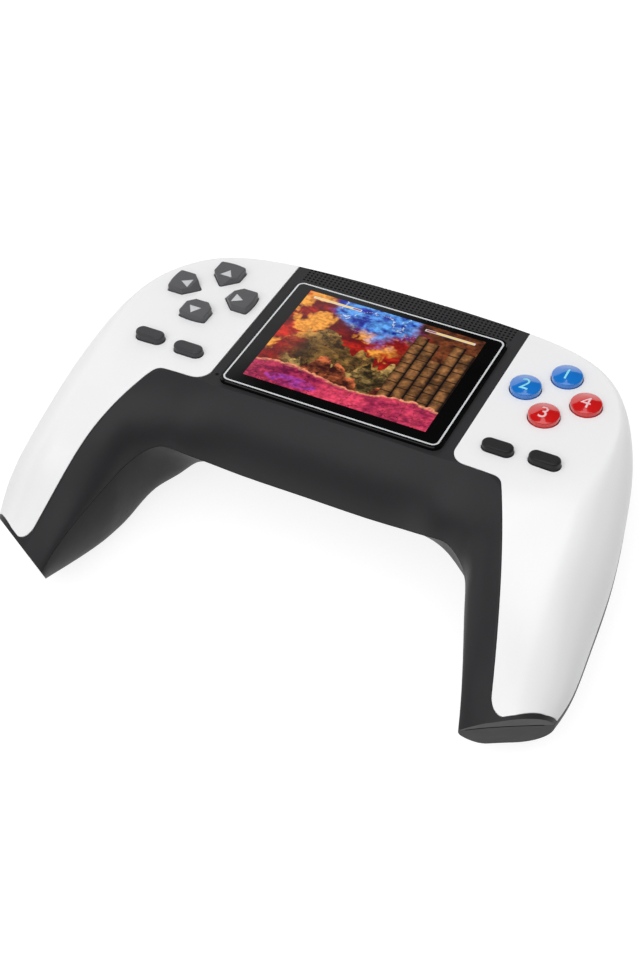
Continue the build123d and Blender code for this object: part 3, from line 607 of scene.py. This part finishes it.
class CONSOLE_OT_keys(bpy.types.Operator):
    """Finish the keys and print plain numbers and arrows on them"""

    bl_idname = "console.keys"
    bl_label = "Keys"

    @staticmethod
    def centre(node):
        """Middle of a node's box, in face millimetres."""
        low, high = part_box(node)
        middle = (np.array(low) + np.array(high)) / 2
        return FACE_AXES @ (middle - FACE_ZERO) / MM

    def numeral(self, node, digit, size, material, slot):
        """A digit's outline filled flat, then laid onto the button's dome."""
        text = bpy.data.curves.new("digit", "FONT")
        text.body, text.size = digit, size / MM
        text.align_x, text.align_y = "CENTER", "CENTER"
        text.resolution_u = 8
        carrier = bpy.data.objects.new("digit", text)
        bpy.context.scene.collection.objects.link(carrier)
        bpy.context.view_layer.update()
        mesh = bpy.data.meshes.new_from_object(carrier)
        flat = np.array([v.co[:2] for v in mesh.vertices])
        faces = [list(p.vertices) for p in mesh.polygons]
        bpy.data.objects.remove(carrier)
        bpy.data.curves.remove(text)
        bpy.data.meshes.remove(mesh)
        flat = flat - (flat.min(0) + flat.max(0)) / 2 + self.centre(node)[:2]
        add_print("number_" + digit, node, flat, faces, material)

    def execute(self, context):
        looks = context.scene.console_looks
        dress(moulded("dark_key", looks.key_colour, 0.42, 0.1, specular=0.35),
              "dpad_up", "dpad_down", "dpad_left", "dpad_right")
        dress(moulded("long_key", looks.long_key_colour, 0.42, 0.1, specular=0.35),
              "volume_key", "reset_key")
        dress(moulded("black_key", looks.black_key_colour, 0.42, 0.1, specular=0.3),
              "select_key", "start_key")
        dress(moulded("blue_button", looks.blue_colour, 0.14, variation=0.04, coat=1.0),
              "action_top", "action_left")
        dress(moulded("red_button", looks.red_colour, 0.14, variation=0.04, coat=1.0),
              "action_bottom", "action_right")
        ice = moulded("ice_print", paint(140, 226, 242), 0.35, 0.02)
        rose = moulded("rose_print", paint(240, 198, 202), 0.35, 0.02)
        for digit, node, ink, slot in (("1", "action_top", ice, "key_blue"),
                                       ("2", "action_left", ice, "key_blue"),
                                       ("3", "action_bottom", rose, "key_red"),
                                       ("4", "action_right", rose, "key_red")):
            self.numeral(node, digit, looks.numeral_size, ink, slot)
        grey = moulded("arrow_print", paint(204, 205, 207), 0.4, 0.02)
        for quarter, (way, place) in enumerate(ARROW_PLACES.items()):
            angle = quarter * np.pi / 2
            turn = np.array([[np.cos(angle), -np.sin(angle)], [np.sin(angle), np.cos(angle)]])
            add_print("arrow_" + way, "dpad_" + way, ARROW @ turn.T + place, [[0, 1, 2]],
                      grey)
        return {"FINISHED"}


class CONSOLE_OT_inside(bpy.types.Operator):
    """Finish the parts inside the housing, the sockets and the screws"""

    bl_idname = "console.inside"
    bl_label = "Inside parts"

    def execute(self, context):
        dress(moulded("plated_steel", (0.55, 0.55, 0.56), 0.3, 0.1, metal=1.0),
              "charge_port", "power_switch", "battery_contacts", "case_screws", "door_screw")
        dress(moulded("grey_rubber", (0.1, 0.1, 0.105), 0.6, 0.2),
              "left_key_sheet", "right_key_sheet")
        dress(moulded("black_compound", (0.02, 0.02, 0.02), 0.5, 0.2, 0.1),
              "main_chip", "board_components", "av_jack", "speaker")
        dress(moulded("tray_plastic", (0.25, 0.25, 0.26), 0.5, 0.1), "display_bracket")
        dress(moulded("display_face", (0.02, 0.02, 0.03), 0.2), "display_panel")
        dress(moulded("amber_film", (0.45, 0.16, 0.01), 0.3), "display_ribbon")
        dress(moulded("green_board", (0.01, 0.1, 0.035), 0.4, 0.1, 0.12), "main_board")
        dress(moulded("smoky_pin", (0.002, 0.002, 0.002), 0.3, specular=0.1), "light_pipe")
        dress(moulded("battery_sleeve", (0.02, 0.06, 0.25), 0.35, 0.1), "battery")
        dress(moulded("knob_plastic", (0.03, 0.03, 0.03), 0.4, 0.1), "power_knob")
        return {"FINISHED"}


STEPS = (CONSOLE_OT_stage, CONSOLE_OT_housing, CONSOLE_OT_screen, CONSOLE_OT_keys,
         CONSOLE_OT_inside)


class CONSOLE_PT_looks(bpy.types.Panel):
    """Sidebar panel with the console's sizes, colours and steps"""

    bl_idname = "CONSOLE_PT_looks"
    bl_label = "Console looks"
    bl_space_type = "VIEW_3D"
    bl_region_type = "UI"
    bl_category = "Console"

    def draw(self, context):
        looks = context.scene.console_looks
        for name in ConsoleLooks.__annotations__:
            self.layout.prop(looks, name)
        for step_class in STEPS:
            self.layout.operator(step_class.bl_idname)


CLASSES = (ConsoleLooks, *STEPS, CONSOLE_PT_looks)


def register():
    """Makes the classes known to Blender and gives the scene its looks."""
    for item in CLASSES:
        bpy.utils.register_class(item)
    bpy.types.Scene.console_looks = bpy.props.PointerProperty(type=ConsoleLooks)


def unregister():
    """Takes the looks and the classes away again."""
    del bpy.types.Scene.console_looks
    for item in reversed(CLASSES):
        bpy.utils.unregister_class(item)


def main():
    """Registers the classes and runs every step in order."""
    register()
    for step_class in STEPS:
        group, action = step_class.bl_idname.split(".")
        getattr(getattr(bpy.ops, group), action)()


if __name__ == "__main__":
    main()
